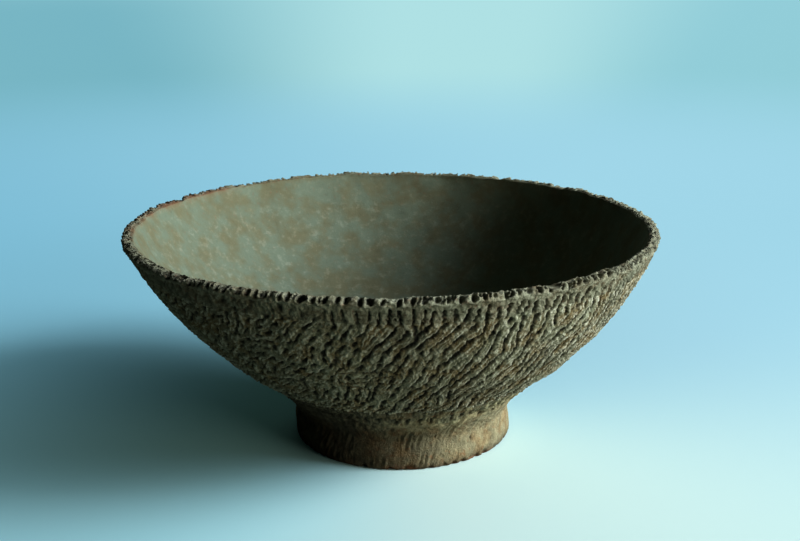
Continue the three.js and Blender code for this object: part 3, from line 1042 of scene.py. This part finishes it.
# The painted light's tones change with the bearing from the pot, and further off with the distance
lit_front = laid_over(tree, lit_paper_front_left, lit_paper_front_right, aside, left_side, right_side)
lit_rear = laid_over(tree, lit_paper_back_left, lit_paper_back_right, aside, left_side, right_side)
lit_sheet = laid_over(tree, lit_front, lit_rear, back, -0.8, 0.7)
glow_front = laid_over(tree, glow_front_left, glow_front_right, aside, left_side, right_side)
glow_middle = laid_over(tree, glow_middle_left, glow_middle_right, aside, left_side, right_side)
glow_near = laid_over(tree, glow_front, glow_middle, back, -0.8, 0.6)
lit_backdrop = laid_over(tree, lit_backdrop_left, lit_backdrop_middle, aside, -0.3, 0.02)
lit_backdrop = laid_over(tree, lit_backdrop, lit_backdrop_right, aside, 0.12, 0.34)
lit_backdrop_tone = laid_over(tree, glow_near, lit_backdrop, distance, 0.7, 1.9)
lit_backdrop_tone = laid_over(tree, lit_backdrop_tone, lit_backdrop_middle, distance, 4, 15)
matt = add_node(tree, "ShaderNodeBsdfDiffuse", {"Color": lit_sheet}).outputs[0]
glow = add_node(tree, "ShaderNodeEmission", {"Color": lit_backdrop_tone}).outputs[0]
span = {"Value": distance, "From Min": near_edge, "From Max": far_edge}
far_off = add_node(tree, "ShaderNodeMapRange", span, **soft_step).outputs["Result"]
shown = add_node(tree, "ShaderNodeMixShader", {0: far_off, 1: matt, 2: glow}).outputs[0]

# The paper lights the pot only with these dimmer tones, dimmest left of the pot, as black cards there would
seen = add_node(tree, "ShaderNodeLightPath", {}).outputs["Is Camera Ray"]
beside_pot = laid_over(tree, card_side, open_side, aside, -0.3, 0.8)
weak = add_node(tree, "ShaderNodeBsdfDiffuse", {"Color": beside_pot}).outputs[0]
surface = add_node(tree, "ShaderNodeMixShader", {0: seen, 1: weak, 2: shown}).outputs[0]
add_node(tree, "ShaderNodeOutputMaterial", {"Surface": surface})
floor_mesh.materials.append(paper)

# What the camera sees past the paper is the backdrop's colour, and what lights the pot is the weak fill
fill_colour = "#b6d8e6"
fill_strength = 0.004
world = bpy.data.worlds.new("studio")
bpy.context.scene.world = world
world.use_nodes = True
tree = world.node_tree
tree.nodes.clear()
seen = add_node(tree, "ShaderNodeLightPath", {}).outputs["Is Camera Ray"]
fill = add_node(tree, "ShaderNodeBackground", {"Color": fill_colour, "Strength": fill_strength}).outputs[0]
far_backdrop = add_node(tree, "ShaderNodeBackground", {"Color": lit_backdrop_middle}).outputs[0]
surface = add_node(tree, "ShaderNodeMixShader", {0: seen, 1: fill, 2: far_backdrop}).outputs[0]
add_node(tree, "ShaderNodeOutputWorld", {"Surface": surface})


def soft_lamp(name, place, target, width, height, power, colour=(1, 1, 1)):
    """A soft box, which lights the pot and isn't seen itself."""
    data = bpy.data.lights.new(name, "AREA")
    data.shape = "RECTANGLE"
    data.size = width
    data.size_y = height
    data.energy = power
    data.color = colour
    lamp = bpy.data.objects.new(name, data)
    lamp.location = place
    lamp.rotation_euler = (Vector(target) - Vector(place)).to_track_quat("-Z", "Y").to_euler()
    lamp.visible_camera = False
    bpy.context.scene.collection.objects.link(lamp)


# Each lamp's place, what it points at, its width and height, all in metres, its power in watts and its tint
cool = (0.93, 1.0, 1.1)
warm = (1.0, 0.95, 0.8)
blue_green = (0.74, 1.0, 0.8)
pot_middle = (0, 0, 0.05)
soft_lamp("key_lamp", (2.81, -0.44, 1.41), pot_middle, 1.4, 1.5, 205, cool)
soft_lamp("front_bounce", (1.57, -1.22, 0.36), pot_middle, 1.0, 0.6, 18, warm)
soft_lamp("backdrop_bounce", (0.2, 1.5, 0.6), pot_middle, 1.6, 0.9, 3, blue_green)
soft_lamp("shadow_fill", (-0.44, 0.03, 0.45), (-0.44, 0.03, 0), 0.2, 0.2, 0.1, blue_green)

bpy.context.scene.view_settings.view_transform = "Standard"
bpy.context.scene.view_settings.gamma = 0.85
